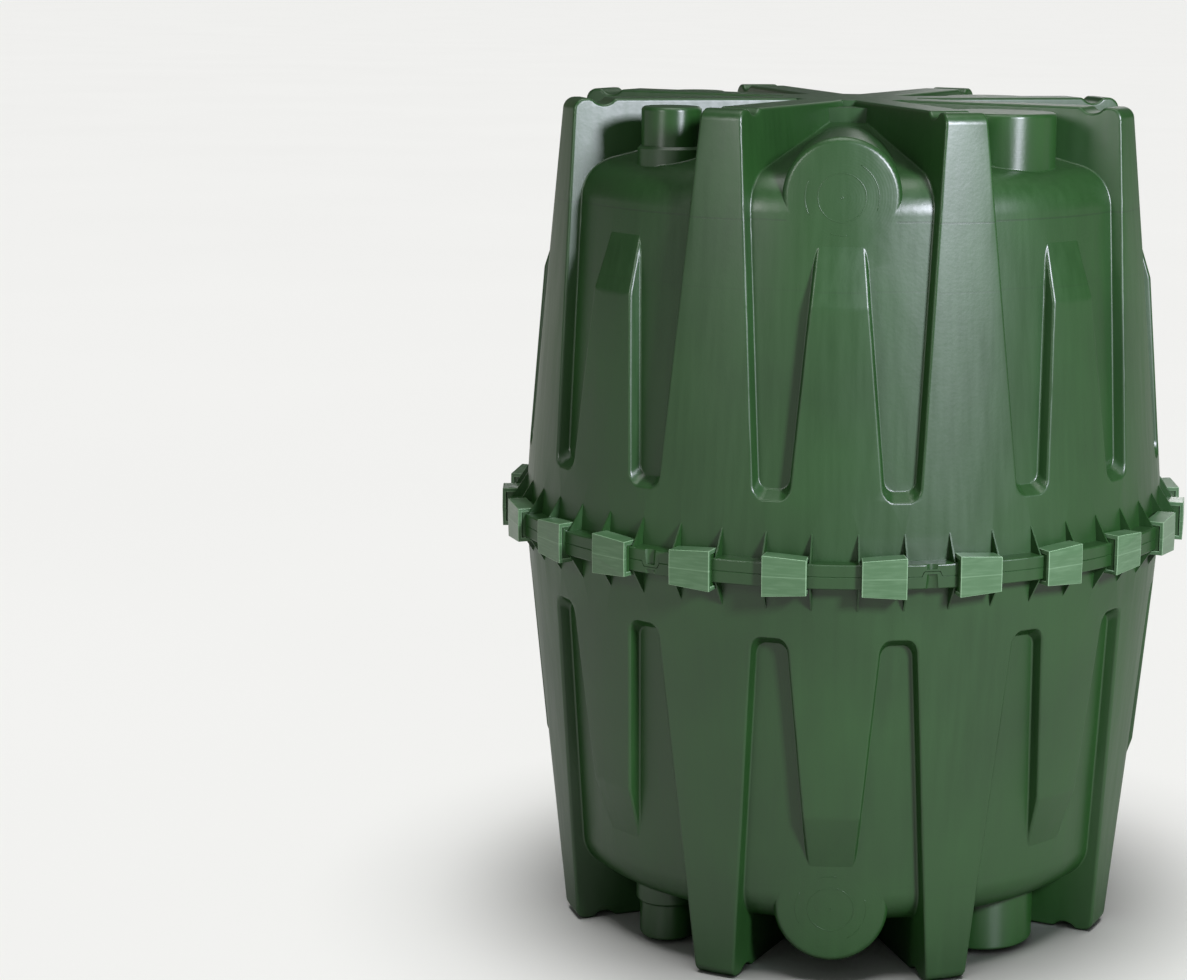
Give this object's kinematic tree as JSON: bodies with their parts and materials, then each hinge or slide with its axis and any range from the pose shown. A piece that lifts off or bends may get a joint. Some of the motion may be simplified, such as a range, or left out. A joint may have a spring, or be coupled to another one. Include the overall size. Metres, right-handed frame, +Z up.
{
  "type": "rainwater tank",
  "caption": "Upright round rainwater tank of two ribbed half shells clipped together at mid height, with legs, pockets, domes and closed pipe stubs.",
  "frame": {"origin": "on the ground plane, under the middle of the tank", "axes": "+Z up along the axis of the tank, front pocket with its round dome face towards -Y"},
  "size_m": [1.349, 1.349, 1.6],
  "materials": {
    "shell_moulding": "smooth moulded dark green polyethylene",
    "clip_moulding": "satin moulded lighter green polypropylene",
    "seal_rubber": "black moulded rubber cord"
  },
  "bodies": {
    "root": {"upper_shell": "shell_moulding", "lower_shell": "shell_moulding", "seal_ring": "seal_rubber", "clip_01": "clip_moulding", "clip_02": "clip_moulding", "clip_03": "clip_moulding", "clip_04": "clip_moulding", "clip_05": "clip_moulding", "clip_06": "clip_moulding", "clip_07": "clip_moulding", "clip_08": "clip_moulding", "clip_09": "clip_moulding", "clip_10": "clip_moulding", "clip_11": "clip_moulding", "clip_12": "clip_moulding", "clip_13": "clip_moulding", "clip_14": "clip_moulding", "clip_15": "clip_moulding", "clip_16": "clip_moulding", "clip_17": "clip_moulding", "clip_18": "clip_moulding", "clip_19": "clip_moulding", "clip_20": "clip_moulding", "clip_21": "clip_moulding", "clip_22": "clip_moulding", "clip_23": "clip_moulding", "clip_24": "clip_moulding"}
  },
  "joints": []
}
